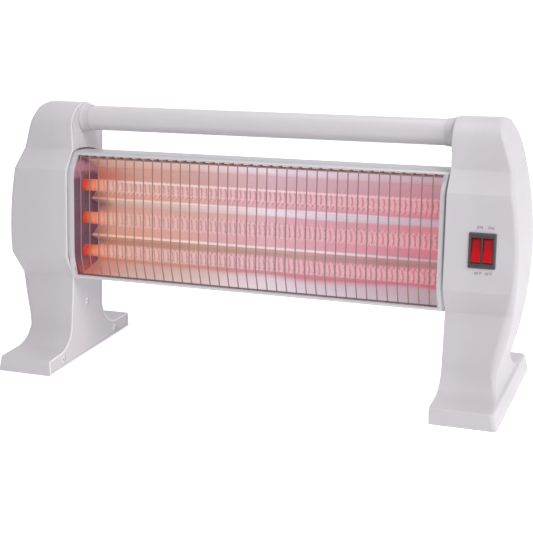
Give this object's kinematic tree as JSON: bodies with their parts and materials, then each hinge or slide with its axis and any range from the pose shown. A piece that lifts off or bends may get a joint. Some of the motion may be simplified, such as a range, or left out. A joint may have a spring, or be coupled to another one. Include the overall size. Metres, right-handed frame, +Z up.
{
  "type": "electric bar heater",
  "caption": "Electric bar heater with quartz tubes behind a wire grille, in a metal case between two moulded end housings, with a carrying tube and a rocker switch.",
  "frame": {"origin": "middle of the heater's box, on the floor that its feet stand on", "axes": "+X along the tubes, towards the end with the switch; -Y out of the grille, the way the heat goes; +Z up"},
  "size_m": [0.5288, 0.174, 0.265],
  "materials": {
    "housing_plastic": "fine matt, light grey",
    "cover_plastic": "fine matt, light grey",
    "tube_coat": "satin powder coat",
    "case_coat": "satin silver-grey coat",
    "end_wall_steel": "heat-tinted sheet",
    "mirror_sheet": "bright rolled sheet",
    "wire_steel": "dull plated",
    "quartz": "clear, fire polished",
    "coil_wire": "oxidised resistance wire",
    "ceramic": "unglazed",
    "plated_steel": "zinc plated",
    "brass": "drawn",
    "switch_plastic": "satin moulded",
    "rocker_red": "translucent, polished",
    "gland_plastic": "moulded",
    "block_plastic": "moulded",
    "tilt_plastic": "moulded",
    "plug_plastic": "moulded",
    "brown_sleeve": "silicone sleeve",
    "white_sleeve": "silicone sleeve",
    "blue_sleeve": "silicone sleeve",
    "green_sleeve": "silicone sleeve"
  },
  "bodies": {
    "frame": {"left_outer_shell": "housing_plastic", "right_outer_shell": "housing_plastic", "left_inner_cover": "cover_plastic", "right_inner_cover": "cover_plastic", "left_cover_screws": "plated_steel", "right_cover_screws": "plated_steel", "left_case_screws": "plated_steel", "right_case_screws": "plated_steel", "handle_tube": "tube_coat", "left_handle_plug": "plug_plastic", "right_handle_plug": "plug_plastic", "heater_case": "case_coat", "left_end_wall": "end_wall_steel", "right_end_wall": "end_wall_steel", "reflector": "mirror_sheet", "wire_grille": "wire_steel", "quartz_tube_top": "quartz", "quartz_tube_middle": "quartz", "quartz_tube_bottom": "quartz", "heating_coil_top": "coil_wire", "heating_coil_middle": "coil_wire", "heating_coil_bottom": "coil_wire", "left_top_cap": "ceramic", "left_middle_cap": "ceramic", "left_bottom_cap": "ceramic", "right_top_cap": "ceramic", "right_middle_cap": "ceramic", "right_bottom_cap": "ceramic", "left_terminal_studs": "brass", "right_terminal_studs": "brass", "left_terminal_nuts": "brass", "right_terminal_nuts": "brass", "link_strip": "brass", "left_tube_clamp": "plated_steel", "right_tube_clamp": "plated_steel", "left_clamp_spacers": "plated_steel", "right_clamp_spacers": "plated_steel", "left_clamp_screws": "plated_steel", "right_clamp_screws": "plated_steel", "switch_body": "switch_plastic", "switch_blades": "brass", "terminal_block": "block_plastic", "terminal_screws": "brass", "terminal_block_screw": "plated_steel", "tilt_switch": "tilt_plastic", "tilt_switch_screw": "plated_steel", "cord_gland": "gland_plastic", "cord_gland_nut": "gland_plastic", "earth_tag": "brass", "left_feed_lead": "brown_sleeve", "right_feed_lead": "brown_sleeve", "top_tube_lead": "white_sleeve", "middle_tube_lead": "white_sleeve", "bottom_tube_lead": "white_sleeve", "earth_lead": "green_sleeve", "neutral_lead": "blue_sleeve", "return_lead": "blue_sleeve"},
    "rocker_left": {"left_rocker": "rocker_red"},
    "rocker_right": {"right_rocker": "rocker_red"}
  },
  "joints": [
    {"name": "left_rocker_tilt", "type": "hinge", "parent": "frame", "child": "rocker_left", "pos_m": [0.2253, -0.03526, 0.15188], "axis": [1, 0, 0], "range_deg": [0, 18]},
    {"name": "right_rocker_tilt", "type": "hinge", "parent": "frame", "child": "rocker_right", "pos_m": [0.2359, -0.03526, 0.15188], "axis": [1, 0, 0], "range_deg": [0, 18]}
  ]
}
